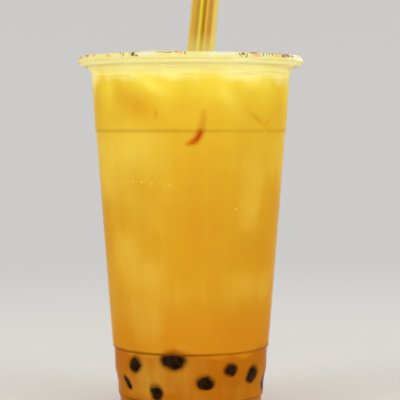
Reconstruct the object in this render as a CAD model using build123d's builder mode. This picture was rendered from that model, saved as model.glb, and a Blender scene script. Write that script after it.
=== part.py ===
"""Sealed cup of milk tea: a clear thin cup, the tea, its froth, the seal film and a wide straw.

Sizes are in millimetres and degrees. The origin is the centre of the circle that the foot
stands on, +Z is up, and the front is -Y. Each piece is one closed solid in its own file.
"""

import os
from math import cos, hypot, radians, sin, tan

from build123d import *

# Cup: one sheet of clear plastic, drawn thin, with a rolled rim and two stacking rings
cup_height = 153.0
wall = 0.5
rim_radius = 47.5  # outside of the rolled rim
roll_width = 3.6
roll_drop = 4.4
roll_corner = 1.9
roll_inner_corner = 1.0
lip_corner = 1.1
lip_width = 2.3  # how far the roll's lower edge turns back in
neck_flare = 1.75  # the neck widens by this much under the roll
neck_height = 3.2
neck_drop = 4.3  # rim top to the top of the neck
upper_draft = 3.3  # slope of the wall above the step
lower_draft = 4.38  # slope of the wall from the step down to the ring
step_drop = 31.2  # rim top to the step
step_depth = 0.4
ring_height = 28.9
ring_depth = 0.7
ledge_height = 0.9  # height over which a step or ring turns in
shoulder_height = 19.0
shoulder_drop = 5.5
shoulder_depth = 1.15
waist_draft = 2.2  # slope of the wall between the ring and the foot
foot_ring_height = 8.2
foot_ring_depth = 0.65
foot_draft = 4.2
groove_width = 1.7  # channel round the raised base
base_rise = 3.4
base_slope = 0.6  # how far the raised base's side leans in
soft_corner = 0.7
foot_corner = 0.6

# Contents
fill_gap = 0.2  # between the contents and what holds them
froth_depth = 8.5  # at the wall
froth_headroom = 1.2  # from the rim down to the froth at the wall, and from the film's dome to its crown
straw_level = 5.0  # the tea inside the straw stands this far below the rim

# Seal film: welded to the roll's top, slightly domed, its cut edge hanging over the rim
film_thickness = 0.3
film_rise = 2.2
film_gap = 0.1  # between the film and the roll's top
skirt_inset = 0.6  # the film turns down this far inside the roll's outside
skirt_droop = 45.0
skirt_width = 3.2

# Straw: wide, cut square above and slanting below
straw_radius = 6.0
straw_wall = 0.4
straw_length = 210.0
straw_hole_x = 4.0  # where its axis passes the rim's level
straw_hole_y = 2.0
straw_lean_x = 0.096  # sideways run for each unit of rise
straw_lean_y = 0.07
straw_tip_slant = 50.0
straw_clearance = 0.3  # to the hole in the film
tip_clearance = 0.4  # from the tip down to the raised base

# Heights and radii that follow from these
step_height = cup_height - step_drop
neck_top = cup_height - neck_drop
neck_bottom = neck_top - neck_height
roll_inside = rim_radius - roll_width
body_top_radius = roll_inside - neck_flare
froth_bottom = cup_height - froth_headroom - froth_depth
bore_radius = straw_radius - straw_wall


def sheet_corners():
    """Corners of the sheet's inner face as (radius, height, rounding), from the base's centre up."""
    step_top = body_top_radius - (neck_bottom - step_height) * tan(radians(upper_draft))
    step_foot = step_height - ledge_height
    step_bottom = step_top - step_depth
    ring_top = step_bottom - (step_foot - ring_height) * tan(radians(lower_draft))
    ring_foot = ring_height - ledge_height
    ring_bottom = ring_top - ring_depth
    shoulder_top = ring_bottom - (ring_foot - shoulder_height) * tan(radians(waist_draft))
    shoulder_foot = shoulder_height - shoulder_drop
    shoulder_bottom = shoulder_top - shoulder_depth
    foot_top = shoulder_bottom - (shoulder_foot - foot_ring_height) * tan(radians(waist_draft))
    foot_in = foot_top - foot_ring_depth
    foot_ledge = foot_ring_height - ledge_height
    foot_radius = foot_in - (foot_ledge - wall) * tan(radians(foot_draft))
    return [
        (0, base_rise, 0),
        (foot_radius - groove_width - base_slope, base_rise, soft_corner),
        (foot_radius - groove_width, wall, foot_corner),
        (foot_radius, wall, foot_corner),
        (foot_in, foot_ledge, soft_corner),
        (foot_top, foot_ring_height, soft_corner),
        (shoulder_bottom, shoulder_foot, soft_corner),
        (shoulder_top, shoulder_height, soft_corner),
        (ring_bottom, ring_foot, soft_corner),
        (ring_top, ring_height, soft_corner),
        (step_bottom, step_foot, soft_corner),
        (step_top, step_height, soft_corner),
        (body_top_radius, neck_bottom, soft_corner),
        (roll_inside, neck_top, soft_corner),
    ]


def roll_corners():
    """Corners of the rolled rim's outer face, from its inner side over the top to its lower edge."""
    return [
        (roll_inside, cup_height, roll_inner_corner),
        (rim_radius, cup_height, roll_corner),
        (rim_radius, cup_height - roll_drop, lip_corner),
        (rim_radius - lip_width, cup_height - roll_drop, 0),
    ]


def rounded_line(corners, mode=Mode.ADD):
    """A line through (x, z, rounding) corners, with each corner but the two ends rounded."""
    points = [(x, z) for x, z, _ in corners]
    radii = [rounding for _, _, rounding in corners[1:-1]]
    return FilletPolyline(*points, radius=radii, mode=mode)


def cavity_outline():
    """Outline of half the space inside the cup, clear of its sheet, up to the film's crown."""
    mouth = (roll_inside, cup_height + film_rise, 0)
    sheet = rounded_line(sheet_corners() + [mouth], mode=Mode.PRIVATE)
    inner = offset(sheet, amount=fill_gap, side=Side.LEFT, closed=False)
    top, foot = inner @ 0, inner @ 1
    Polyline(foot, (0, top.Y), top)


def dome_arc(spring_height):
    """Half of the film's dome, from the axis out to the roll's inner side at spring_height."""
    sphere_radius = (roll_inside**2 + film_rise**2) / (2 * film_rise)
    return RadiusArc((0, spring_height + film_rise), (roll_inside, spring_height), sphere_radius)


def film_face(raised):
    """One face of the film, raised above the lower one: its dome, weld and skirt. Gives its two ends."""
    droop = radians(skirt_droop)
    dome = dome_arc(cup_height + film_gap + raised)
    fold = Vector(rim_radius - skirt_inset + raised * tan(droop / 2), cup_height + film_gap + raised)
    edge = fold + Vector(cos(droop), -sin(droop)) * (skirt_width + raised * tan(droop / 2))
    FilletPolyline(dome @ 1, fold, edge, radius=roll_corner)
    return dome @ 0, edge


# The straw's own plane: origin on its axis, +Z up the straw. The tip's cut starts at its -X side
lean = Vector(straw_lean_x, straw_lean_y, 1).normalized()
tip_height = base_rise + tip_clearance - straw_radius * straw_lean_x / hypot(1, straw_lean_x)
tip_origin = Vector(
    straw_hole_x - straw_lean_x * (cup_height - tip_height),
    straw_hole_y - straw_lean_y * (cup_height - tip_height),
    tip_height,
)
straw_plane = Plane(origin=tip_origin, x_dir=(1, 0, -straw_lean_x), z_dir=lean)


def slant_plane(clearance):
    """The plane of the tip's slanting cut, moved out of the straw by clearance."""
    low_edge = straw_plane.from_local_coords(Vector(-straw_radius, 0, 0))
    slant = straw_plane.rotated((0, -straw_tip_slant, 0))
    return Plane(origin=low_edge, x_dir=slant.x_dir, z_dir=slant.z_dir).offset(-clearance)


with BuildPart() as cup:
    with BuildSketch(Plane.XZ):
        with BuildLine():
            inner_face = rounded_line(sheet_corners() + roll_corners())
            offset(inner_face, amount=wall, side=Side.RIGHT)
        make_face()
    revolve(axis=Axis.Z)

with BuildPart() as straw:
    with BuildSketch(straw_plane):
        Circle(straw_radius)
        Circle(bore_radius, mode=Mode.SUBTRACT)
    extrude(amount=straw_length)
    split(bisect_by=slant_plane(0), keep=Keep.TOP)

# What the straw's wall takes out of the tea, with the clearance on both of its faces and its tip
with BuildPart() as straw_room:
    with BuildSketch(straw_plane.offset(-fill_gap)):
        Circle(straw_radius + fill_gap)
        Circle(bore_radius - fill_gap, mode=Mode.SUBTRACT)
    extrude(amount=straw_length)
    split(bisect_by=slant_plane(fill_gap), keep=Keep.TOP)

# The column that stands in the straw starts a radius up it, where the tea is all round it
with BuildPart() as tea:
    with BuildSketch(straw_plane.offset(straw_radius)):
        Circle(bore_radius)
    extrude(amount=straw_length)
    split(bisect_by=Plane.XY.offset(cup_height - straw_level), keep=Keep.BOTTOM)
    with BuildSketch(Plane.XZ):
        with BuildLine():
            cavity_outline()
        make_face()
        Rectangle(rim_radius, froth_bottom, align=Align.MIN, mode=Mode.INTERSECT)
    revolve(axis=Axis.Z)
    add(straw_room.part, mode=Mode.SUBTRACT)

with BuildPart() as froth:
    with BuildSketch(Plane.XZ):
        with BuildLine():
            cavity_outline()
        make_face()
        with BuildLine():
            crown = dome_arc(cup_height - froth_headroom)
            Polyline(crown @ 1, (roll_inside, froth_bottom), (0, froth_bottom), crown @ 0)
        make_face(mode=Mode.INTERSECT)
    revolve(axis=Axis.Z)
    with BuildSketch(straw_plane):
        Circle(straw_radius + fill_gap)
    extrude(amount=straw_length, mode=Mode.SUBTRACT)

with BuildPart() as film:
    with BuildSketch(Plane.XZ):
        with BuildLine():
            under_centre, under_edge = film_face(0)
            top_centre, top_edge = film_face(film_thickness)
            Line(under_centre, top_centre)
            Line(under_edge, top_edge)
        make_face()
    revolve(axis=Axis.Z)
    with BuildSketch(straw_plane):
        Circle(straw_radius + straw_clearance)
    extrude(amount=straw_length, mode=Mode.SUBTRACT)

cup.part.label = "cup"
tea.part.label = "tea"
froth.part.label = "froth"
film.part.label = "film"
straw.part.label = "straw"

os.makedirs("parts", exist_ok=True)
export_step(cup.part, "parts/cup.step")
export_step(tea.part, "parts/tea.step")
export_step(froth.part, "parts/froth.step")
export_step(film.part, "parts/film.step")
export_step(straw.part, "parts/straw.step")
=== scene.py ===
"""A sealed cup of milk tea: clear cup, tea with tapioca pearls, froth, printed seal film and straw."""

from math import cos, hypot, pi, radians, sin, sqrt, tan

import bmesh
import bpy
import numpy as np
from mathutils import Matrix, Vector, noise


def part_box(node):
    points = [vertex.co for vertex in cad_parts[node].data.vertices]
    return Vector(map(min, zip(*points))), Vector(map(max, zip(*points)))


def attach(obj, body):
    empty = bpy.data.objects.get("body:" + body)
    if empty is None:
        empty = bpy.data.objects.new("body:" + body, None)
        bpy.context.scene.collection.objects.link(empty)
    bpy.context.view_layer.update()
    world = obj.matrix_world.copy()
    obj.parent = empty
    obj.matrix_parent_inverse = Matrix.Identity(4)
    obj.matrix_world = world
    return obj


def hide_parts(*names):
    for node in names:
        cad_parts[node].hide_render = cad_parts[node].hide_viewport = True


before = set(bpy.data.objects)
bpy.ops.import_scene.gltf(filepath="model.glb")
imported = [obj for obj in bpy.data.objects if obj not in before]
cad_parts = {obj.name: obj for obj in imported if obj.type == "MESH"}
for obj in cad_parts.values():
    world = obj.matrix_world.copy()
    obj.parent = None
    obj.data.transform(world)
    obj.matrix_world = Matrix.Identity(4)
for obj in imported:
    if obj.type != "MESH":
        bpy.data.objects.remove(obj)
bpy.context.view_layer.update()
scene = bpy.context.scene

# ------------------------------------------------------------------------------------------------
# The clear cup
# One sheet of clear polypropylene, drawn thin over a cold mould in a single stroke: its rim is
# rolled outwards, and a neck, a stacking step, a stacking ring, a shoulder and a raised base are
# pressed into it.

MM = 0.001
wall = 0.5 * MM
cup_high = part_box("cup")[1]
cup_height = cup_high.z
rim_radius = max(cup_high.x, cup_high.y)
roll_inside = rim_radius - 3.6 * MM
roll_drop = 4.4 * MM
lip_width = 2.3 * MM
neck_top = cup_height - 4.3 * MM
neck_bottom = neck_top - 3.2 * MM
step_height = cup_height - 31.2 * MM
ring_height = 28.9 * MM
ledge = 0.9 * MM
shoulder_height = 19.0 * MM
foot_ring_height = 8.2 * MM
base_rise = 3.4 * MM
hair = 0.01 * MM  # points closer than this are at the same place
weld_gap = 0.002 * MM

# The sheet's inner face from the base's centre up to the roll: radius, height and rounding
sheet_corners = [
    (0, base_rise, 0),
    (27.49 * MM, base_rise, 0.7 * MM),
    (28.09 * MM, wall, 0.6 * MM),
    (29.79 * MM, wall, 0.6 * MM),
    (30.29 * MM, foot_ring_height - ledge, 0.7 * MM),
    (30.94 * MM, foot_ring_height, 0.7 * MM),
    (31.14 * MM, shoulder_height - 5.5 * MM, 4.0 * MM),
    (32.29 * MM, shoulder_height, 4.0 * MM),
    (32.64 * MM, ring_height - ledge, 0.5 * MM),
    (33.34 * MM, ring_height, 0.7 * MM),
    (40.38 * MM, step_height - ledge, 0.7 * MM),
    (40.78 * MM, step_height, 0.7 * MM),
    (roll_inside - 1.75 * MM, neck_bottom, 1.4 * MM),
    (roll_inside, neck_top, 1.4 * MM),
]
roll_corners = [
    (roll_inside, cup_height, 1.0 * MM),
    (rim_radius, cup_height, 1.9 * MM),
    (rim_radius, cup_height - roll_drop, 1.1 * MM),
    (rim_radius - lip_width, cup_height - roll_drop, 0),
]


def inner_radius(height):
    """Radius of the sheet's inner face at a height above the foot."""
    heights = [z for _, z, _ in sheet_corners[3:]] + [cup_height]
    radii = [r for r, _, _ in sheet_corners[3:]] + [roll_inside]
    return np.interp(height, heights, radii)


def new_piece(name):
    """The object that an operator has just made, named."""
    piece = bpy.context.object
    piece.name = name
    piece.data.name = name
    return piece


def pick(piece, kind, test):
    """Select the vertices or edges of the open piece that pass a test."""
    bpy.ops.mesh.select_mode(type="VERT" if kind == "verts" else "EDGE")
    bpy.ops.mesh.select_all(action="DESELECT")
    mesh = bmesh.from_edit_mesh(piece.data)
    for part in getattr(mesh, kind):
        if test(part):
            part.select_set(True)
    mesh.select_flush_mode()
    bmesh.update_edit_mesh(piece.data)


def apply_modifier(piece, kind, **settings):
    """Add a modifier with these settings and apply it."""
    modifier = piece.modifiers.new(kind.title(), kind)
    for key, value in settings.items():
        setattr(modifier, key, value)
    bpy.context.view_layer.objects.active = piece
    bpy.ops.object.modifier_apply(modifier=modifier.name)


def draw_outline(name, corners, spacing=None):
    """Draw a line through (radius, height, rounding) corners, extruding a point, and round it."""
    bpy.ops.object.select_all(action="DESELECT")
    bpy.ops.mesh.primitive_plane_add(size=MM)
    line = new_piece(name)
    bpy.ops.object.mode_set(mode="EDIT")
    bpy.ops.mesh.merge(type="CENTER")
    places = [Vector((r, 0, z)) for r, z, _ in corners]
    bpy.ops.transform.translate(value=places[0])
    for here, there in zip(places, places[1:]):
        bpy.ops.mesh.extrude_region_move(TRANSFORM_OT_translate={"value": there - here})
    for before, here, after, corner in zip(places, places[1:], places[2:], corners[1:]):
        turn = (here - before).angle(after - here)
        rounding = corner[2]
        if rounding > 0 and turn > radians(1):
            pick(line, "verts", lambda v: (v.co - here).length < hair)
            bpy.ops.mesh.bevel(offset=rounding * tan(turn / 2), segments=5, affect="VERTICES")
    if spacing:
        divide_outline(line, spacing)
    return line


def divide_outline(line, spacing):
    """Cut the open outline's long edges into lengths of about this spacing, the longest first."""

    def parts(edge):
        return round(edge.calc_length() / spacing)

    counts = {parts(edge) for edge in bmesh.from_edit_mesh(line.data).edges}
    for count in sorted(counts, reverse=True):
        if count > 1:
            pick(line, "edges", lambda edge: parts(edge) == count)
            bpy.ops.mesh.subdivide(number_cuts=count - 1)


def close_shell():
    """Merge the open piece's doubled points, turn its faces outwards and leave edit mode."""
    bpy.ops.mesh.select_all(action="SELECT")
    bpy.ops.mesh.remove_doubles(threshold=weld_gap)
    bpy.ops.mesh.normals_make_consistent(inside=False)
    bpy.ops.object.mode_set(mode="OBJECT")
    bpy.ops.object.shade_smooth_by_angle(angle=radians(50))


def spin_outline(steps):
    """Spin the open outline once round the cup's axis and close it."""
    bpy.ops.mesh.select_all(action="SELECT")
    bpy.ops.mesh.spin(steps=steps, angle=2 * pi, center=(0, 0, 0), axis=(0, 0, 1))
    close_shell()


cup = draw_outline("clear_cup", sheet_corners + roll_corners)
spin_outline(256)
apply_modifier(cup, "SOLIDIFY", thickness=wall, offset=-1)


def tone(red, green, blue):
    """A colour as it is seen, 0 to 255, as the shader wants it."""
    seen = [c / 255 for c in (red, green, blue)]
    return [c / 12.92 if c <= 0.04045 else ((c + 0.055) / 1.055) ** 2.4 for c in seen] + [1.0]


class Finish:
    """A node material being made up. What goes into a node is a socket to link or a plain value."""

    def __init__(self, name):
        self.material = bpy.data.materials.new(name)
        self.material.use_nodes = True
        self.tree = self.material.node_tree
        self.tree.nodes.clear()
        self.place = self.add("TexCoord").outputs["Object"]

    def add(self, kind, inputs=None, **settings):
        """A node with these settings, and these inputs by name or number."""
        node = self.tree.nodes.new("ShaderNode" + kind)
        for name, value in settings.items():
            setattr(node, name, value)
        for name, value in (inputs or {}).items():
            if isinstance(value, bpy.types.NodeSocket):
                self.tree.links.new(value, node.inputs[name])
            else:
                node.inputs[name].default_value = value
        return node

    def axes(self, place):
        """The X, Y and Z of a place."""
        return self.add("SeparateXYZ", {0: place}).outputs

    def noise(self, scale, detail, stretch=(1, 1, 1)):
        """Soft random light and dark, stretched along the axes."""
        stretched = self.add("Mapping", {"Vector": self.place, "Scale": stretch}).outputs[0]
        return self.add("TexNoise", {"Vector": stretched, "Scale": scale, "Detail": detail}).outputs[0]

    def stored(self, name):
        """The number kept under this name for each vertex."""
        return self.add("Attribute", attribute_name=name).outputs["Fac"]

    def maths(self, operation, *values):
        """The result of an operation on sockets or plain numbers."""
        return self.add("Math", dict(enumerate(values)), operation=operation).outputs[0]

    def fade(self, value, start, end, first=0.0, last=1.0, shape="SMOOTHSTEP"):
        """A number that goes from first to last while the value goes from start to end."""
        inputs = {"Value": value, "From Min": start, "From Max": end, "To Min": first, "To Max": last}
        return self.add("MapRange", inputs, interpolation_type=shape).outputs[0]

    def ramp(self, amount, stops, shape="LINEAR"):
        """A colour for the amount, by stops of position, red, green and blue."""
        node = self.add("ValToRGB", {0: amount})
        node.color_ramp.interpolation = shape
        elements = node.color_ramp.elements
        for position, *seen in stops[1:-1]:
            elements.new(position).color = tone(*seen)
        for end in (0, -1):
            position, *seen = stops[end]
            elements[end].position = position
            elements[end].color = tone(*seen)
        return node.outputs["Color"]

    def tint(self, ground, amount, colour):
        """A ground with a colour laid over it by an amount."""
        return self.add("Mix", {0: amount, 6: ground, 7: colour}, data_type="RGBA").outputs[2]

    def surface(self, kind, inputs=None):
        """A surface of this kind."""
        return self.add("Bsdf" + kind, inputs).outputs[0]

    def cover(self, under, amount, over):
        """A surface with another laid over it by an amount."""
        return self.add("MixShader", {0: amount, 1: under, 2: over}).outputs[0]

    def shadow_ray(self):
        """1 for light that only decides a shadow, and 0 for what is seen."""
        return self.add("LightPath").outputs["Is Shadow Ray"]

    def finished(self, surface):
        """The material, with this surface."""
        self.add("OutputMaterial", {"Surface": surface})
        return self.material


def clear_plastic():
    """Clear drawn sheet that lets light through, hazy and pale where rolled up, with painted glow of the
    froth behind.
    """
    finish = Finish("clear_plastic")
    streaks = finish.noise(1.0, 3.0, stretch=(900, 900, 25))
    bump = finish.add("Bump", {"Height": streaks, "Strength": 0.1, "Distance": 0.05 * MM})
    clear = {"Base Color": tone(255, 253, 246), "Roughness": 0.08, "IOR": 1.05}
    sheet = finish.surface(
        "Principled", clear | {"Transmission Weight": 1.0, "Normal": bump.outputs[0]}
    )
    # The rolled rim's pale colour is partly haze and partly painted glow of the froth seen through it
    milky_glow = finish.surface("Principled", {"Base Color": tone(255, 248, 172), "Roughness": 0.3})
    height = finish.axes(finish.place)["Z"]
    rolled_glow_share = finish.fade(height, neck_top - 1.0 * MM, neck_top + 0.5 * MM, last=0.85)
    rolled = finish.cover(sheet, rolled_glow_share, milky_glow)
    straight = finish.surface("Transparent", {"Color": tone(252, 250, 244)})
    return finish.finished(finish.cover(rolled, finish.shadow_ray(), straight))


cup.data.materials.append(clear_plastic())
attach(cup, "root")
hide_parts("cup")

# ------------------------------------------------------------------------------------------------
# The tapioca pearls
# Balls of cooked tapioca starch, about 10 mm across, near black, soft and uneven. They sink, lie
# in a loose heap on the base and press flat spots against the cup.

into_sheet = 0.15 * MM  # how far the drink reaches into the cup's sheet
spot_into_sheet = 0.22 * MM
spot_share = 0.5  # a pressed spot's width as a share of its pearl's
spot_depth = sqrt(1 - spot_share**2)  # depth of a pearl's middle as a share of its half thickness
halo_share = 0.66  # width that shows dark through the tea as a share of the pearl's
base_spread = 21 * MM

# Azimuth in degrees from the front towards +X, then height, spot width, spot height and tilt
front_pearls = [
    (-45.6, 23.2, 7.0, 6.2, 20),
    (-12.6, 26.0, 9.6, 7.6, -6),
    (-26.9, 12.4, 5.2, 6.6, 14),
    (11.0, 17.0, 6.8, 5.4, -14),
    (31.4, 21.7, 6.0, 5.0, 0),
    (54.0, 18.9, 7.4, 6.2, 34),
    (-57.6, 15.1, 3.2, 6.4, 44),
    (79.0, 13.4, 6.0, 6.4, 0),
]
# The rest of the row that can be seen from the sides and the back
back_pearls = [
    (101, 22.5, 6.5, 7.0, 10),
    (119, 12.6, 7.4, 6.0, -20),
    (139, 20.0, 5.6, 7.4, 15),
    (158, 11.5, 6.8, 6.2, 0),
    (171, 23.8, 8.0, 6.0, -8),
    (190, 15.5, 6.6, 7.2, 25),
    (209, 21.5, 7.6, 6.6, 0),
    (227, 12.2, 5.8, 6.2, -30),
    (241, 19.0, 7.0, 7.4, 12),
    (257, 11.2, 6.2, 5.2, 0),
    (270, 22.6, 5.2, 7.0, -18),
]


def wall_frame(azimuth, height):
    """Axes at a place on the sheet's inner face: sideways, up and inwards, as a matrix."""
    turn = radians(azimuth)
    side = Vector((cos(turn), sin(turn), 0))
    inward = Vector((-sin(turn), cos(turn), 0))
    axes = Matrix((side, Vector((0, 0, 1)), inward)).transposed().to_4x4()
    axes.translation = inward * -inner_radius(height) + Vector((0, 0, height))
    return axes


def base_frame(turn, out):
    """Axes at a place on the raised base, by its turn and its distance out, with the third one up."""
    axes = Matrix.Identity(4)
    axes.translation = Vector((out * cos(radians(turn)), out * sin(radians(turn)), base_rise))
    return axes


def pearl_places():
    """Each pearl as its axes on the cup, its half sizes and the depth of its middle."""
    places = []
    for azimuth, height, width, tall, tilt in front_pearls + back_pearls:
        axes = wall_frame(azimuth, height * MM) @ Matrix.Rotation(radians(tilt), 4, "Z")
        places.append((axes, width * MM / 2 / halo_share, tall * MM / 2 / halo_share))
    for turn in range(0, 360, 52):
        places.append((base_frame(turn, base_spread), 4.8 * MM, 4.4 * MM))
    for turn in range(20, 380, 120):
        places.append((base_frame(turn, base_spread * 0.45), 4.3 * MM, 4.9 * MM))
    return [(axes, wide, tall, (wide + tall) / 2) for axes, wide, tall in places]


def press_against_cup(place):
    """Move a point that lies past the cup's inner face back to just inside its sheet."""
    reach = inner_radius(place.z) + spot_into_sheet
    radius = hypot(place.x, place.y)
    if radius > reach:
        place.x *= reach / radius
        place.y *= reach / radius
    place.z = max(place.z, base_rise - spot_into_sheet)
    return place


def mottled(name, scale, detail, stops, roughness, gloss):
    """A skin of two tones that run into each other in soft mottles."""
    finish = Finish(name)
    colour = finish.ramp(finish.noise(scale, detail), stops)
    skin = {"Base Color": colour, "Roughness": roughness, "Specular IOR Level": gloss}
    return finish.finished(finish.surface("Principled", skin))


def cook_pearl(number, axes, wide, tall, rolled_glow_share):
    """One pearl: a ball, dented a little all over, then pressed against the cup."""
    bpy.ops.object.select_all(action="DESELECT")
    bpy.ops.mesh.primitive_ico_sphere_add(subdivisions=4, radius=1)
    pearl = new_piece(f"pearl_{number}")
    for vertex in pearl.data.vertices:
        dent = 1 + 0.05 * noise.noise(vertex.co * 1.3 + Vector((number * 7.1, 0, 0)))
        x, y, z = vertex.co * dent
        place = axes @ Vector((x * wide, y * tall, (spot_depth + z) * rolled_glow_share))
        vertex.co = press_against_cup(place)
    bpy.ops.object.shade_smooth()
    return pearl


def join_pieces(pieces, name):
    """Make many like pieces one."""
    bpy.ops.object.select_all(action="DESELECT")
    for piece in pieces:
        piece.select_set(True)
    bpy.context.view_layer.objects.active = pieces[0]
    bpy.ops.object.join()
    return new_piece(name)


pearls = [cook_pearl(number, *place) for number, place in enumerate(pearl_places())]
tapioca = join_pieces(pearls, "tapioca_pearls")
# The pearls on the wall come out mirrored, so all faces are turned outwards again
bpy.ops.object.mode_set(mode="EDIT")
bpy.ops.mesh.select_all(action="SELECT")
bpy.ops.mesh.normals_make_consistent(inside=False)
bpy.ops.object.mode_set(mode="OBJECT")
# Cooked tapioca: near black, with a brown, slightly clouded skin; its lighter mottles are partly painted
# sheen
skin_and_sheen_tones = [(0.35, 8, 3, 0), (0.8, 56, 32, 11)]
tapioca.data.materials.append(mottled("dark_tapioca", 420.0, 3.0, skin_and_sheen_tones, 0.35, 0.05))
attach(tapioca, "root")

# ------------------------------------------------------------------------------------------------
# The tea
# Cloudy milk tea, lemon-pale under the froth and deeper amber towards the base, where the pearls
# have coloured it. Faint pale and dark patches lie near the cup, and two pale upright streaks on the
# right are painted reflections of lamps. Pearls fade into the tea where they leave the sheet. The
# tea fills the cup to the froth, and stands in the straw as well.

tea_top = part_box("froth")[0].z
veil_depth = 1.1 * MM  # thickness of tea that hides most of what lies behind it
clear_depth = 0.3 * MM  # thickness of tea that hides hardly anything

# Pale or dark blocks in the tea, two of them painted reflections of lamps, in degrees and
# millimetres: azimuth, height, width, tallness, tilt, edge sharpness and strength
tea_patches = [
    (-48, 112.5, 50, 20, -8, 4, 0.37),
    (-53, 139, 6, 12, 0, 2, 0.3),
    (-37, 133.5, 31, 11, 33, 2, -0.45),
    (-70, 134.0, 10, 16, 0, 2, -0.35),
    (-24.5, 141.4, 14, 5.6, 38, 2, 0.9),
    (-14, 139, 9, 6, 20, 2, 0.3),
    (3, 133.0, 16, 10, 0, 2, -0.12),
    (20, 137.0, 17, 7, 52, 2, 0.5),
    (38, 140.5, 16, 4, 0, 2, 0.5),
    (62, 131.0, 12, 20, 0, 3, -0.25),
    (68, 143, 18, 7, 0, 3, -0.22),
    (41.5, 126.6, 11, 1.5, 31, 2, -0.5),
    (51.5, 125.0, 5, 1.4, -38, 2, -0.4),
    (-19.8, 128.3, 1.6, 3.2, 0, 2, -0.4),
    (-64, 98, 12, 12, 0, 3, 0.2),
    (-76, 85, 14, 18, 0, 3, -0.25),
    (-36, 92, 36, 28, 0, 3, 0.1),
    (-47, 74, 16, 12, 0, 3, 0.18),
    (-38, 65, 28, 15, 26, 4, 0.17),
    (-38, 50, 38, 26, 0, 2, 0.12),
    (-42, 38, 36, 14, 0, 2, 0.07),
    (-56, 36, 18, 22, 0, 2, -0.14),
    (6, 96, 18, 72, 0, 3, -0.16),
    # A thin pale upright streak, a painted reflection of a lamp on the cup
    (10, 96, 1.6, 56, 0, 2, 0.12),
    # A wider pale upright streak, a painted reflection of a lamp on the cup
    (42, 94, 10, 38, 2, 2, 0.2),
    (62, 88, 11, 40, 0, 4, -0.18),
    (66, 112, 20, 26, 0, 3, 0.16),
    (44, 72, 44, 15, 4, 4, -0.2),
    (22, 75, 12, 9, 0, 4, 0.14),
    (46, 57, 40, 15, 5, 6, 0.16),
    (48, 36, 36, 18, 0, 2, -0.3),
    (-22, 17, 30, 18, 0, 2, 0.13),
    (112, 112, 40, 24, 12, 6, 0.45),
    (160, 84, 34, 26, -18, 5, 0.3),
    (205, 120, 46, 22, 8, 6, 0.45),
    (236, 66, 30, 30, 24, 3, 0.35),
    (262, 104, 24, 30, -9, 5, 0.3),
    (140, 48, 26, 20, 0, 2, -0.35),
    (186, 138, 22, 9, 0, 2, 0.7),
    (128, 134, 20, 12, 20, 2, -0.5),
]


def vertex_places(piece):
    """The piece's vertices as an array."""
    places = np.empty(len(piece.data.vertices) * 3)
    piece.data.vertices.foreach_get("co", places)
    return places.reshape(-1, 3)


def store(piece, name, values):
    """Keep a number for each vertex, for the material to read."""
    attribute = piece.data.attributes.new(name, "FLOAT", "POINT")
    attribute.data.foreach_set("value", np.asarray(values, float))


def azimuths(places):
    """Each place's turn from the front towards +X, in degrees."""
    return np.degrees(np.arctan2(places[:, 0], -places[:, 1]))


def clouds_and_highlights(places):
    """How much paler (or, below zero, darker) the tea is at each place, painted highlights included."""
    azimuth = azimuths(places)
    radius = np.hypot(places[:, 0], places[:, 1])
    total = np.zeros(len(places))
    for middle, height, width, tall, tilt, sharp, strength in tea_patches:
        along = radius * np.radians((azimuth - middle + 180) % 360 - 180)
        up = places[:, 2] - height * MM
        lean = radians(tilt)
        u = (along * cos(lean) - up * sin(lean)) / (width * MM / 2)
        v = (along * sin(lean) + up * cos(lean)) / (tall * MM / 2)
        total += strength * np.exp(-((np.abs(u) ** sharp + np.abs(v) ** sharp) ** (2 / sharp)))
    return total


def seen_through(places):
    """How much of a pearl shows at each place of the tea's skin, 1 where it is bare."""
    murk = np.zeros(len(places))
    near_base = places[:, 2] < ring_height + 2 * MM
    murk[near_base] = [noise.noise(Vector(place) * 380) for place in places[near_base]]
    uneven_clear = clear_depth * (1 - 2.5 * murk)
    shown = np.zeros(len(places))
    for axes, wide, tall, rolled_glow_share in pearl_places():
        local = (places - np.array(axes.translation)) @ np.array(axes.to_3x3())
        spread = (local[:, 0] / wide) ** 2 + (local[:, 1] / tall) ** 2
        bulge = np.sqrt(np.clip(1 - spread, 0, 1))
        gap = np.maximum(rolled_glow_share * (spot_depth - bulge) - local[:, 2] - uneven_clear, 0)
        rim_fade = np.clip((1 - spread) * 3, 0, 1) * (np.abs(local[:, 2]) < rolled_glow_share)
        shown = np.maximum(shown, rim_fade * np.exp(-gap / veil_depth))
    return shown


# The orange sliver, in degrees and millimetres: azimuth, height, half width, and how deep its face
# lies in the tea
sliver_line = [
    (7.9, 128.6, 1.0, 0.85),
    (7.6, 126.6, 1.4, 0.62),
    (7.1, 123.8, 1.4, 0.62),
    (6.3, 121.8, 1.2, 0.3),
    (5.6, 120.4, 1.15, -0.05),
    (4.7, 118.9, 1.15, -0.05),
    (3.2, 117.5, 1.15, -0.05),
    (1.2, 116.6, 0.85, -0.02),
    (-0.9, 116.2, 0.55, 0.2),
    (-2.8, 116.0, 0.25, 0.6),
]


def blushing(places):
    """How much of the sliver's orange shows at each place of the tea's skin."""
    halo = 0.4  # millimetres past the sliver's edge that still show orange
    veil = 0.65  # millimetres of tea that hide most of it
    along = inner_radius(places[:, 2]) * np.radians(azimuths(places))
    shown = np.zeros(len(places))
    for here, there in zip(sliver_line, sliver_line[1:]):
        for share in (0, 0.34, 0.67):
            turn, height, half, depth = (a + share * (b - a) for a, b in zip(here, there))
            middle = inner_radius(here[1] * MM) * radians(turn)
            reach = (half + halo) * MM
            spread = ((along - middle) / reach) ** 2 + ((places[:, 2] - height * MM) / reach) ** 2
            shown = np.maximum(shown, np.exp(-max(depth, 0) / veil) * np.exp(-(spread**1.5)))
    return shown * (places[:, 1] < 0)


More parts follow.
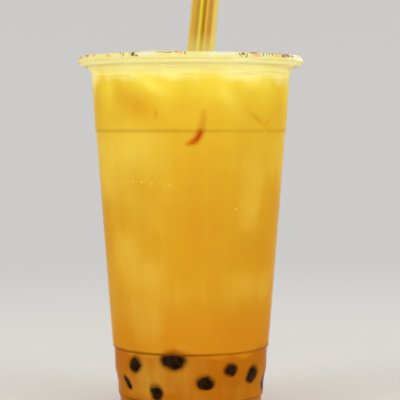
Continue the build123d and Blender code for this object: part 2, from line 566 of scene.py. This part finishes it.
tea_outline = [(0, base_rise - into_sheet, 0)]
for radius, height, rounding in sheet_corners[1:-2]:
    sunk = into_sheet if height <= base_rise else 0
    tea_outline.append((radius + into_sheet, height - sunk, rounding))
tea_outline.append((inner_radius(tea_top) + into_sheet, tea_top, 0))
tea = draw_outline("milk_tea", tea_outline, spacing=0.65 * MM)
pick(tea, "verts", lambda v: v.co.z > tea_top - hair)
bpy.ops.mesh.extrude_region_move(TRANSFORM_OT_translate={"value": (-tea_outline[-1][0], 0, 0)})
spin_outline(320)
places = vertex_places(tea)
store(tea, "cloud_and_highlight", clouds_and_highlights(places))
store(tea, "pearl", seen_through(places))
store(tea, "sliver_seen", blushing(places))

# Colour of the tea and the froth by height above the foot in millimetres
drink_colours = [
    (0, 175, 102, 14),
    (27.5, 179, 104, 14),
    (29.5, 203, 135, 25),
    (42, 205, 140, 29),
    (60, 208, 152, 33),
    (90, 210, 158, 36),
    (112, 214, 169, 43),
    (130, 223, 184, 49),
    (140, 230, 203, 60),
    (144, 245, 234, 138),
    (148, 251, 244, 166),
    (153, 255, 250, 180),
]
# Painted shade lines where the cup steps in: height, half width in millimetres, and strength
ledge_shade_lines = [
    (step_height - ledge / 2, 1.6, 0.2),
    (ring_height - ledge / 2, 1.0, 0.8),
    (foot_ring_height - ledge / 2, 1.0, 0.8),
]


def milky_drink(name, streaks, strength):
    """Milk tea by height, with clouds, streaks, painted highlights and painted shade lines, and what
    shows through.
    """
    finish = Finish(name)
    maths, tint = finish.maths, finish.tint
    x, _, z = finish.axes(finish.place)
    waves = maths("MULTIPLY_ADD", finish.noise(75.0, 1.5), 11.0 * MM, -5.5 * MM)
    level = finish.fade(maths("ADD", z, waves), 0.0, cup_height, shape="LINEAR")
    colour = finish.ramp(level, [(height * MM / cup_height, *seen) for height, *seen in drink_colours])

    grain = maths("MULTIPLY_ADD", finish.noise(1.0, 2.0, streaks), strength, -strength / 2)
    cloud_and_highlight = maths("ADD", finish.stored("cloud_and_highlight"), grain)
    drift = maths("SUBTRACT", finish.noise(60.0, 4.0), 0.5)
    paler = maths("MULTIPLY_ADD", drift, 0.35, cloud_and_highlight)
    darker = maths("MULTIPLY", paler, -1.0)
    colour = tint(colour, finish.add("Clamp", {0: paler}).outputs[0], tone(249, 225, 96))
    colour = tint(colour, finish.add("Clamp", {0: darker}).outputs[0], tone(205, 120, 22))
    colour = tint(colour, finish.stored("sliver_seen"), tone(192, 88, 2))
    colour = tint(colour, finish.stored("pearl"), tone(40, 20, 4))

    # Painted shade: a dark line at each step of the cup, fainter towards the right
    shade_fainter_right = finish.fade(x, -10 * MM, 16 * MM, first=1.0, last=0.6)
    for height, half_width, darkness in ledge_shade_lines:
        away = maths("ABSOLUTE", maths("SUBTRACT", z, height))
        near = finish.fade(away, 0.0, half_width * MM, first=darkness, last=0.0)
        colour = tint(colour, maths("MULTIPLY", near, shade_fainter_right), tone(138, 68, 2))
    drink = {"Base Color": colour, "Roughness": 0.5, "Specular IOR Level": 0.0}
    return finish.finished(finish.surface("Principled", drink))


tea.data.materials.append(milky_drink("milk_tea", (260, 260, 7), 0.16))
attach(tea, "root")
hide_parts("tea")

# The column of tea in the straw, with the curved surface that it has against the straw's wall
straw_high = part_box("straw")[1]
straw_radius = 6.0 * MM
straw_wall = 0.4 * MM
straw_lean = Vector((0.096, 0.07, 1)).normalized()
straw_hole = Vector((4.0 * MM, 2.0 * MM, cup_height))
column_radius = straw_radius - straw_wall - 0.1 * MM
column_foot = tea_top - 2 * MM
column_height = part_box("tea")[1].z - column_foot
column_corners = [
    (0, 0, 0),
    (column_radius, 0, 0),
    (column_radius, column_height, 0),
    (column_radius * 0.75, column_height - 0.7 * MM, 1.5 * MM),
    (0, column_height - 0.9 * MM, 0),
]
upright_to_lean = Vector((0, 0, 1)).rotation_difference(straw_lean).to_matrix().to_4x4()


def along_straw(height):
    """The straw's middle at a height above the foot."""
    return straw_hole + straw_lean * ((height - cup_height) / straw_lean.z)


def lean_with_straw(piece, height):
    """Turn a piece that was made upright on the origin to the straw's lean, standing at a height."""
    piece.data.transform(Matrix.Translation(along_straw(height)) @ upright_to_lean)


column = draw_outline("tea_in_straw", column_corners)
spin_outline(48)
lean_with_straw(column, column_foot)
column.data.materials.append(tea.data.materials[0])
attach(column, "root")

# ------------------------------------------------------------------------------------------------
# The orange sliver
# A thin curved strip, orange-red, that lies against the front of the cup from above the step to a
# little below it. Its lower half touches the sheet, and both its ends sink back into the tea.

sliver_half_depth = 0.5 * MM


def sliver_middle(azimuth, height, depth):
    """The middle of the sliver's section, so that its face lies this deep in the tea."""
    reach = inner_radius(height * MM) + into_sheet - depth * MM - sliver_half_depth
    return Vector((sin(radians(azimuth)) * reach, -cos(radians(azimuth)) * reach, height * MM))


def cut_sliver():
    """A flattened ring extruded down the sliver's line, rounded by subdivision."""
    bpy.ops.object.select_all(action="DESELECT")
    azimuth, height, half, depth = sliver_line[0]
    start = sliver_middle(azimuth, height, depth)
    bpy.ops.mesh.primitive_circle_add(vertices=12, radius=half * MM, fill_type="NGON", location=start)
    sliver = new_piece("orange_sliver")
    bpy.ops.object.transform_apply()
    bpy.ops.object.mode_set(mode="EDIT")
    bpy.ops.mesh.select_all(action="SELECT")
    bpy.ops.transform.resize(value=(1, sliver_half_depth / (half * MM), 1), center_override=start)
    for azimuth, height, next_half, depth in sliver_line[1:]:
        there = sliver_middle(azimuth, height, depth)
        bpy.ops.mesh.extrude_region_move(TRANSFORM_OT_translate={"value": there - start})
        bpy.ops.transform.resize(value=(next_half / half, 1, 1), center_override=there)
        start, half = there, next_half
    bpy.ops.mesh.select_all(action="SELECT")
    bpy.ops.mesh.normals_make_consistent(inside=False)
    bpy.ops.object.mode_set(mode="OBJECT")
    apply_modifier(sliver, "SUBSURF", levels=2, render_levels=2)
    bpy.ops.object.shade_smooth()
    return sliver


sliver = cut_sliver()
# Smooth orange-red, a little mottled
sliver_tones = [(0.3, 150, 56, 0), (0.7, 172, 72, 1)]
sliver.data.materials.append(mottled("orange_red_skin", 700.0, 2.0, sliver_tones, 0.4, 0.1))
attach(sliver, "root")

# ------------------------------------------------------------------------------------------------
# The small bubbles
# Air bubbles about a millimetre across that cling to the sheet, a few in a row on the front and the
# others scattered round the cup, more of them near the froth than near the base.

bubble_proud = 0.14 * MM
smallest_bubble = 0.36 * MM
front_bubbles = [
    (-37.6, 100.6),
    (-30.8, 100.3),
    (-23.9, 99.6),
    (-12.3, 99.2),
    (29.8, 89.2),
    (50.3, 120.9),
]
scatter = np.random.default_rng(7)
round_bubbles = [(75 + 210 * scatter.random(), 30 + 112 * scatter.random() ** 0.6) for _ in range(34)]


def blow_bubble(azimuth, height, radius):
    """One bubble, a little proud of the tea, with the sheet over it."""
    reach = inner_radius(height * MM) + into_sheet + bubble_proud - radius
    turn = radians(azimuth)
    middle = (sin(turn) * reach, -cos(turn) * reach, height * MM)
    bpy.ops.object.select_all(action="DESELECT")
    bpy.ops.mesh.primitive_ico_sphere_add(subdivisions=3, radius=radius, location=middle)
    bubble = new_piece("bubble")
    bpy.ops.object.transform_apply()
    bpy.ops.object.shade_smooth()
    return bubble


bubbles = [
    blow_bubble(azimuth, height, smallest_bubble + 0.3 * MM * scatter.random())
    for azimuth, height in front_bubbles + round_bubbles
]
air = join_pieces(bubbles, "small_bubbles")
# The bright skin of a bubble, a little mottled
bubble_tones = [(0.3, 236, 196, 78), (0.7, 250, 220, 110)]
air.data.materials.append(mottled("bubble_skin", 1500.0, 1.0, bubble_tones, 0.4, 0.1))
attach(air, "root")

# ------------------------------------------------------------------------------------------------
# The froth
# Pale milk froth, 8 to 11 mm deep, from the tea to just under the film. Small bubbles roughen its
# top, and it is cut round the straw.

film_rise = 2.2 * MM
froth_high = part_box("froth")[1]
froth_hole = straw_radius + 0.15 * MM
froth_crown = froth_high.z - film_rise
froth_step = 0.6 * MM
foam_depth = 0.35 * MM
foam_swing = 0.4 * MM


def middle_of(height, shift):
    """The middle of a ring: on the cup's axis for a shift of 0, on the straw's for 1."""
    middle = along_straw(height) * shift
    middle.z = height
    return middle


def ring_of(name, rings, steps):
    """A circle extruded through rings of (radius, height, shift): how far each leans to the straw."""
    bpy.ops.object.select_all(action="DESELECT")
    radius, height, shift = rings[0]
    bpy.ops.mesh.primitive_circle_add(vertices=steps, radius=radius, location=middle_of(height, shift))
    piece = new_piece(name)
    bpy.ops.object.transform_apply()
    bpy.ops.object.mode_set(mode="EDIT")
    bpy.ops.mesh.select_all(action="SELECT")
    for before, after in zip(rings, rings[1:]):
        here, there = middle_of(*before[1:]), middle_of(*after[1:])
        size = after[0] / before[0]
        bpy.ops.mesh.extrude_region_move(TRANSFORM_OT_translate={"value": there - here})
        bpy.ops.transform.resize(value=(size, size, 1), center_override=there)
    return piece


def dome_height(radius, spring):
    """Height of a shallow dome that springs from this level at the roll's inner side."""
    sphere = (roll_inside**2 + film_rise**2) / (2 * film_rise)
    return spring + film_rise - (sphere - sqrt(sphere**2 - min(radius, roll_inside) ** 2))


def from_straw(x, y):
    """How far a place is from the straw's middle, where the straw goes through the film."""
    return hypot(x - straw_hole.x, y - straw_hole.y)


froth_rings = [(froth_hole, tea_top + k * 2 * MM, 1) for k in range(5)]
for share in np.linspace(0, 1, 26):
    radius = froth_hole + share * (roll_inside - 0.9 * MM - froth_hole)
    froth_rings.append((radius, dome_height(radius, froth_crown), 1 - share))
for height in [*np.arange(froth_crown - froth_step, tea_top, -froth_step), tea_top]:
    froth_rings.append((inner_radius(height) + into_sheet, height, 0))
froth_rings += [(30 * MM, tea_top, 0.3), (froth_hole, tea_top, 1)]
froth = ring_of("milk_froth", froth_rings, 288)
close_shell()
for vertex in froth.data.vertices:
    x, y, z = vertex.co
    if z > froth_crown + 0.1 * MM and from_straw(x, y) > froth_hole + 3 * MM:
        foam = noise.noise(vertex.co * 400) + 0.6 * noise.noise(vertex.co * 1100)
        edge_fade = min(1, (roll_inside - hypot(x, y)) / (4 * MM))
        vertex.co.z -= max(0, foam_depth + foam_swing * foam) * edge_fade
places = vertex_places(froth)
store(froth, "cloud_and_highlight", clouds_and_highlights(places))
for unseen in ("pearl", "sliver_seen"):
    store(froth, unseen, np.zeros(len(places)))
froth.data.materials.append(milky_drink("milk_froth", (24, 24, 620), 1.0))
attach(froth, "root")
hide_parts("froth")

# ------------------------------------------------------------------------------------------------
# The seal film
# Printed plastic film, pressed onto the roll by a hot ring and cut round just past it. Its edge
# droops unevenly over the roll and keeps a narrow clear border, and it is creased where the straw
# was pushed through.

film_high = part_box("film")[1]
film_edge = max(film_high.x, film_high.y) - 0.15 * MM
film_sheet = 0.14 * MM
film_spring = cup_height + 0.17 * MM
film_hole = straw_radius + 0.3 * MM
fold_radius = rim_radius - 0.7 * MM
weld_radius = 0.5 * (roll_inside + fold_radius)
droop = radians(48)
hanging = (film_edge - fold_radius) / cos(droop)
crease_height = 0.35 * MM
torn_depth = 1.3 * MM
slack_height = 0.34 * MM
ridge_height = 0.7 * MM
slack_drop = 0.35 * MM
emboss_depth = 0.05 * MM
ripple_height = 0.5 * MM

film_rings = []
for share in np.linspace(0, 1, 40):
    radius = film_hole + share**0.9 * (roll_inside - film_hole)
    film_rings.append((radius, dome_height(radius, film_spring), 1 - share))
for share in np.linspace(0.2, 1, 5):
    film_rings.append((roll_inside + share * (fold_radius - roll_inside), film_spring, 0))
for share in np.linspace(0.1, 1, 10):
    turned = min(1, share * 2.2) * droop
    out = fold_radius + share * hanging * cos(turned * 0.9)
    film_rings.append((out, film_spring - share * hanging * sin(turned) * 0.97, 0))
film = ring_of("seal_film", film_rings, 320)
bpy.ops.object.mode_set(mode="OBJECT")
bpy.ops.object.shade_smooth()


def round_straw(x, y):
    """How far the film is lifted or pushed down by the straw: creases, and a torn edge."""
    gap = max(from_straw(x, y) - film_hole, 0)
    around = np.arctan2(y - straw_hole.y, x - straw_hole.x)
    crease = crease_height * np.exp(-gap / (7 * MM)) * sin(9 * around + 2 * sin(2 * around))
    torn = torn_depth * np.exp(-gap / (0.9 * MM)) * (0.75 + 0.35 * sin(5 * around + 1))
    return crease - torn


def slack_film(x, y, inside):
    """How far the unsupported film is off its dome: loose waves, one soft ridge, and a small drop."""
    waves = slack_height * noise.noise(Vector((x * 110, y * 110, 3))) * min(1, inside / (6 * MM))
    off_ridge = hypot((x + 17 * MM) / (15 * MM), (y + 16 * MM) / (22 * MM))
    ridge = ridge_height * np.exp(-(off_ridge**2))
    return waves + ridge - slack_drop * min(1, inside / (12 * MM))


for vertex in film.data.vertices:
    x, y, z = vertex.co
    radius = hypot(x, y)
    turn = np.arctan2(x, -y)
    weld = max(0, 1 - abs(radius - weld_radius) / (1.2 * MM))
    vertex.co.z += round_straw(x, y) - emboss_depth * weld * (0.5 + 0.5 * sin(160 * turn))
    if radius < roll_inside:
        vertex.co.z += slack_film(x, y, roll_inside - radius)
    if radius > fold_radius:
        past = (radius - fold_radius) / (film_edge - fold_radius)
        ripple = noise.noise(Vector((cos(turn) * 3.1, sin(turn) * 3.1, 8)))
        fine = noise.noise(Vector((cos(turn) * 9, sin(turn) * 9, 2)))
        trim = min(1, 1 - past * (0.022 * (0.5 + ripple) + 0.006 * (0.5 + fine)))
        vertex.co.x *= trim
        vertex.co.y *= trim
        vertex.co.z += past * ripple_height * (ripple + 0.5 * fine)
apply_modifier(film, "SOLIDIFY", thickness=film_sheet, offset=0)


# Marks of the printed border, and three painted highlights: azimuth, distance out, half length round,
# half width, tilt and ink
film_marks = [
    # Three pale marks, painted highlights on the film
    (-22, 47.3, 5.5, 0.9, 0.0, "painted_highlight"),
    (15, 47.3, 7.0, 0.9, 0.0, "painted_highlight"),
    (68, 47.6, 3.0, 0.9, 0.0, "painted_highlight"),
    (-76, 47.5, 4.5, 0.9, 0.0, "pink"),
    (-80, 47.4, 3.2, 0.8, 0.0, "rust"),
    (-70, 47.2, 2.6, 0.5, 0.1, "pink"),
    (-66, 47.2, 2.2, 0.4, 0.0, "rust"),
    (-57, 47.4, 2.2, 0.3, 0.0, "pink"),
    (-45, 47.6, 1.8, 0.25, 0.1, "pink"),
    (-37.2, 47.0, 0.9, 0.35, 0.3, "olive"),
    (-35.2, 47.2, 0.4, 0.6, -0.3, "olive"),
    (-31.4, 46.9, 0.5, 0.5, 0.2, "black"),
    (-29.2, 47.4, 1.2, 0.45, 0.1, "black"),
    (-27.0, 47.8, 0.9, 0.2, 0.1, "olive"),
    (-15.0, 47.1, 2.6, 0.24, 0.06, "brown"),
    (-10.8, 47.4, 1.9, 0.24, 0.09, "rust"),
    (-9.0, 47.1, 1.6, 0.24, -0.1, "red"),
    (-6.8, 47.1, 0.4, 0.5, 0.3, "brown"),
    (-4.7, 47.2, 1.5, 0.7, 0.0, "pink"),
    (-2.5, 47.2, 0.4, 0.7, -0.3, "red"),
    (25.4, 47.6, 0.8, 0.22, 0.5, "brown"),
    (27.0, 47.3, 1.0, 0.2, 0.0, "brown"),
    (28.8, 47.6, 0.8, 0.22, -0.5, "brown"),
    (34.0, 47.1, 3.2, 0.36, 0.0, "red"),
    (34.8, 47.6, 2.6, 0.45, 0.0, "pink"),
    (39.0, 47.3, 0.5, 0.6, 0.4, "black"),
    (41.4, 47.2, 0.4, 0.5, -0.3, "olive"),
    (43.2, 47.3, 0.4, 0.5, 0.3, "olive"),
    (45.2, 47.3, 0.6, 0.4, 0.0, "brown"),
    (48.4, 47.8, 1.7, 0.4, 0.0, "yellow"),
    (50.5, 47.1, 4.0, 0.4, 0.0, "red"),
    (57.0, 47.3, 4.2, 0.6, 0.05, "red"),
    (54.0, 47.8, 2.4, 0.4, -0.05, "rust"),
    (63.5, 47.6, 0.9, 0.5, 0.2, "black"),
    (73.0, 47.4, 2.4, 0.4, 0.0, "pink"),
    (80.0, 47.2, 1.2, 0.5, 0.3, "olive"),
    (87.0, 47.4, 1.8, 0.5, 0.0, "red"),
    (3, 40.0, 3.2, 2.8, 0.0, "red"),
    (-7, 41.0, 2.4, 2.2, 0.0, "rust"),
    (13, 39.0, 4.4, 1.1, 0.5, "olive"),
    (24, 41.5, 3.6, 0.9, -0.5, "olive"),
    (36, 38.5, 2.8, 2.6, 0.0, "rust"),
    (46, 40.0, 1.8, 1.8, 0.0, "red"),
    (58, 41.0, 4.0, 1.0, 0.4, "olive"),
    (70, 39.0, 2.6, 2.4, 0.0, "red"),
    (81, 40.5, 3.2, 0.9, -0.4, "brown"),
    (-20, 39.5, 4.2, 1.0, -0.3, "olive"),
    (-34, 40.5, 2.2, 2.0, 0.0, "red"),
    (-46, 38.5, 3.4, 0.9, 0.6, "brown"),
    (-60, 40.5, 2.8, 2.5, 0.0, "rust"),
    (-70, 38.8, 2.0, 1.8, 0.0, "red"),
    (-82, 40.6, 4.2, 1.0, 0.3, "olive"),
    (20, 28.0, 5.0, 0.8, 0.3, "pink"),
    (-25, 27.0, 5.0, 0.8, -0.3, "pink"),
    (65, 27.5, 5.0, 0.8, 0.2, "pink"),
    (-70, 28.0, 5.0, 0.8, -0.2, "pink"),
]
print_repeats = 2
clear_border = 0.7
inks_and_highlights = {
    "pink": tone(255, 206, 138),
    "olive": tone(134, 104, 24),
    "black": tone(70, 46, 6),
    "brown": tone(150, 72, 24),
    "red": tone(164, 46, 10),
    "rust": tone(216, 112, 48),
    "yellow": tone(255, 224, 84),
    "painted_highlight": tone(255, 254, 222),
}


def printed_film():
    """Cream film printed with a loose border of berries, leaves and short strokes, and three painted
    highlights.
    """
    finish = Finish("printed_film")
    maths = finish.maths
    wave = finish.noise(70.0, 2.0)
    ragged = maths("MULTIPLY_ADD", finish.noise(900.0, 3.0), 2.4, -0.2)
    x, y, _ = finish.axes(finish.place)
    squares = maths("ADD", maths("MULTIPLY", x, x), maths("MULTIPLY", y, y))
    out_mm = maths("MULTIPLY", maths("SQRT", squares), 1000.0)
    turn = maths("ARCTAN2", x, maths("MULTIPLY", y, -1.0))
    share = maths("FRACT", maths("MULTIPLY_ADD", turn, print_repeats / (2 * pi), print_repeats + 0.5))
    angle = maths("MULTIPLY", maths("SUBTRACT", share, 0.5), 2 * pi / print_repeats)
    colour = finish.ramp(wave, [(0.35, 255, 246, 160), (0.65, 255, 253, 196)])
    for azimuth, out, long, wide, tilt, mark_colour in film_marks:
        along = maths("MULTIPLY", maths("SUBTRACT", angle, radians(azimuth)), float(out))
        across = maths("SUBTRACT", out_mm, out)
        u = maths("MULTIPLY_ADD", across, sin(tilt) / long, maths("MULTIPLY", along, cos(tilt) / long))
        v = maths("MULTIPLY_ADD", across, cos(tilt) / wide, maths("MULTIPLY", along, -sin(tilt) / wide))
        spread = maths("ADD", maths("MULTIPLY", u, u), maths("MULTIPLY", v, v))
        marked_share = finish.fade(maths("SUBTRACT", ragged, spread), 0.0, 0.7, last=0.9, shape="LINEAR")
        colour = finish.tint(colour, marked_share, inks_and_highlights[mark_colour])
    film_top = {"Base Color": colour, "Roughness": 0.45, "Specular IOR Level": 0.25}
    sheet = finish.surface("Principled", film_top)
    lit_sheet = finish.cover(sheet, 0.1, finish.surface("Translucent", {"Color": colour}))

    edge_noise = maths("MULTIPLY", maths("SUBTRACT", wave, 0.5), 0.8)
    border = maths("GREATER_THAN", out_mm, maths("SUBTRACT", film_edge / MM - clear_border, edge_noise))
    trimmed = finish.cover(lit_sheet, maths("MULTIPLY", border, 0.6), finish.surface("Transparent"))
    light_through = finish.surface("Transparent", {"Color": tone(255, 250, 220)})
    let_through = maths("MULTIPLY", finish.shadow_ray(), 0.75)
    return finish.finished(finish.cover(trimmed, let_through, light_through))


film.data.materials.append(printed_film())
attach(film, "root")
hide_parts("film")

# ------------------------------------------------------------------------------------------------
# The straw
# A wide straw, 12 mm across and 210 mm long, extruded from translucent plastic with long stripes of
# yellow and mustard in its wall, cut square above and slanting below.

straw_length = 210.0 * MM
tip_slant = radians(50)
# Stripes round the wall: share of a turn, then the colour
straw_stripes = [
    (0.00, 184, 136, 18),
    (0.012, 207, 161, 28),
    (0.032, 255, 228, 66),
    (0.046, 252, 216, 60),
    (0.060, 200, 158, 8),
    (0.087, 206, 160, 24),
    (0.114, 248, 194, 74),
    (0.135, 236, 186, 52),
    (0.160, 244, 198, 84),
    (0.195, 255, 222, 136),
    (0.26, 252, 216, 128),
    (0.32, 214, 168, 60),
    (0.38, 250, 220, 104),
    (0.44, 204, 154, 44),
    (0.50, 240, 190, 84),
    (0.56, 255, 224, 110),
    (0.62, 210, 160, 52),
    (0.70, 250, 210, 100),
    (0.76, 246, 210, 118),
    (0.81, 255, 234, 146),
    (0.855, 255, 230, 128),
    (0.886, 255, 216, 92),
    (0.911, 214, 154, 32),
    (0.942, 218, 156, 34),
    (0.966, 255, 204, 84),
    (0.988, 192, 142, 18),
    (1.00, 184, 136, 18),
]


def striped_plastic():
    """Translucent plastic with stripes along the straw, and a painted glow from just above the film down.
    """
    finish = Finish("striped_plastic")
    back = (Matrix.Translation(along_straw(0)) @ upright_to_lean).inverted()
    turned_back = {"Vector": finish.place, "Location": back.to_translation(), "Rotation": back.to_euler()}
    x, y, _ = finish.axes(finish.add("Mapping", turned_back).outputs[0])
    share = finish.maths("MULTIPLY_ADD", finish.maths("ARCTAN2", x, y), 1 / (2 * pi), 0.5)
    stripes = finish.ramp(share, straw_stripes, shape="EASE")
    height = finish.axes(finish.place)["Z"]
    # Painted glow: the stripes turn pale towards the film, as if lit by light off it
    glow_low, glow_high = cup_height + 3 * MM, cup_height + 11 * MM
    glow = finish.fade(height, glow_low, glow_high, first=0.62, last=0.0, shape="LINEAR")
    colour = finish.tint(stripes, glow, tone(255, 242, 138))
    outside = {"Base Color": colour, "Roughness": 0.28, "Specular IOR Level": 0.15}
    wall_face = finish.surface("Principled", outside)
    lit_wall = finish.cover(wall_face, 0.12, finish.surface("Translucent", {"Color": colour}))
    clear = finish.surface("Transparent", {"Color": tone(255, 244, 205)})
    return finish.finished(finish.cover(lit_wall, 0.07, clear))


bpy.ops.object.select_all(action="DESELECT")
bpy.ops.mesh.primitive_cylinder_add(
    vertices=96, radius=straw_radius, depth=straw_length, end_fill_type="NOTHING"
)
straw = new_piece("striped_straw")
bpy.ops.transform.translate(value=(0, 0, straw_length / 2))
bpy.ops.object.transform_apply()
bpy.ops.object.mode_set(mode="EDIT")
bpy.ops.mesh.select_all(action="SELECT")
bpy.ops.mesh.bisect(
    plane_co=(-straw_radius, 0, 0), plane_no=(sin(tip_slant), 0, -cos(tip_slant)), clear_outer=True
)
bpy.ops.object.mode_set(mode="OBJECT")
apply_modifier(straw, "SOLIDIFY", thickness=straw_wall, offset=-1)
bpy.ops.object.shade_smooth_by_angle(angle=radians(40))
straw_foot = straw_high.z - straw_length * straw_lean.z - straw_radius * sqrt(1 - straw_lean.z**2)
lean_with_straw(straw, straw_foot)
straw.data.materials.append(striped_plastic())
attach(straw, "root")
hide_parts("straw")

# ------------------------------------------------------------------------------------------------
# The table, the light and the camera
# A plain pale table top that fades into an even pale room, two large soft lamps in front, a weaker
# one behind, and a little wide light from a window, behind as well.

table_radius = 0.85
lamp_size = 0.5
camera_place = (4.0 * MM, -0.68, step_height - 0.3 * MM)
look_down = radians(2.533)

bpy.ops.object.select_all(action="DESELECT")
bpy.ops.mesh.primitive_circle_add(
    vertices=128, radius=table_radius, fill_type="NGON", location=(0, 0, -0.02 * MM)
)
table = new_piece("table")
bpy.ops.object.transform_apply()


def pale_table():
    """Plain matt table top that fades into the pale room away from the cup."""
    finish = Finish("pale_table")
    matt = {"Base Color": tone(236, 234, 231), "Roughness": 1.0, "Specular IOR Level": 0.0}
    away = finish.add("VectorMath", {0: finish.place}, operation="LENGTH").outputs["Value"]
    top = finish.surface("Principled", matt)
    return finish.finished(finish.cover(top, finish.fade(away, 0.2, 0.8), finish.surface("Transparent")))


table.data.materials.append(pale_table())


def soft_lamp(name, place, power, colour):
    """A square soft lamp that points at the middle of the cup, and that the camera doesn't see."""
    light = bpy.data.lights.new(name, "AREA")
    light.size = lamp_size
    light.energy = power
    light.color = colour
    lamp = bpy.data.objects.new(name, light)
    lamp.location = place
    aim = Vector((0, 0, cup_height * 0.55)) - Vector(place)
    lamp.rotation_euler = aim.to_track_quat("-Z", "Y").to_euler()
    lamp.visible_camera = False
    scene.collection.objects.link(lamp)


soft_lamp("key", (-0.94, -0.79, 0.45), 4.3, (1, 0.985, 0.96))
soft_lamp("fill", (0.96, -0.80, 0.40), 4.15, (1, 0.985, 0.97))
soft_lamp("back", (0.45, 1.2, 0.55), 2.0, (1, 0.99, 0.975))
window = bpy.data.objects.new("window", bpy.data.lights.new("window", "SUN"))
window.data.energy = 0.5
window.data.angle = radians(50)
window.rotation_euler = (radians(-46), 0, radians(-14))
scene.collection.objects.link(window)


def pale_room():
    """An even pale room, a little darker overhead."""
    world = bpy.data.worlds.new("room")
    world.use_nodes = True
    nodes, links = world.node_tree.nodes, world.node_tree.links
    place = nodes.new("ShaderNodeTexCoord")
    split = nodes.new("ShaderNodeSeparateXYZ")
    fade = nodes.new("ShaderNodeValToRGB")
    fade.color_ramp.elements[0].color = (0.61, 0.60, 0.585, 1)
    fade.color_ramp.elements[1].position = 0.5
    fade.color_ramp.elements[1].color = (0.56, 0.555, 0.545, 1)
    links.new(place.outputs["Generated"], split.inputs[0])
    links.new(split.outputs["Z"], fade.inputs["Fac"])
    links.new(fade.outputs["Color"], nodes["Background"].inputs["Color"])
    return world


scene.world = pale_room()

camera = bpy.data.objects.new("camera", bpy.data.cameras.new("camera"))
camera.data.sensor_width = 36
camera.data.lens = 141.4
camera.data.clip_start = 0.01
camera.location = camera_place
camera.rotation_euler = (pi / 2 - look_down, 0, 0)
scene.collection.objects.link(camera)
scene.camera = camera
scene.view_settings.view_transform = "Standard"
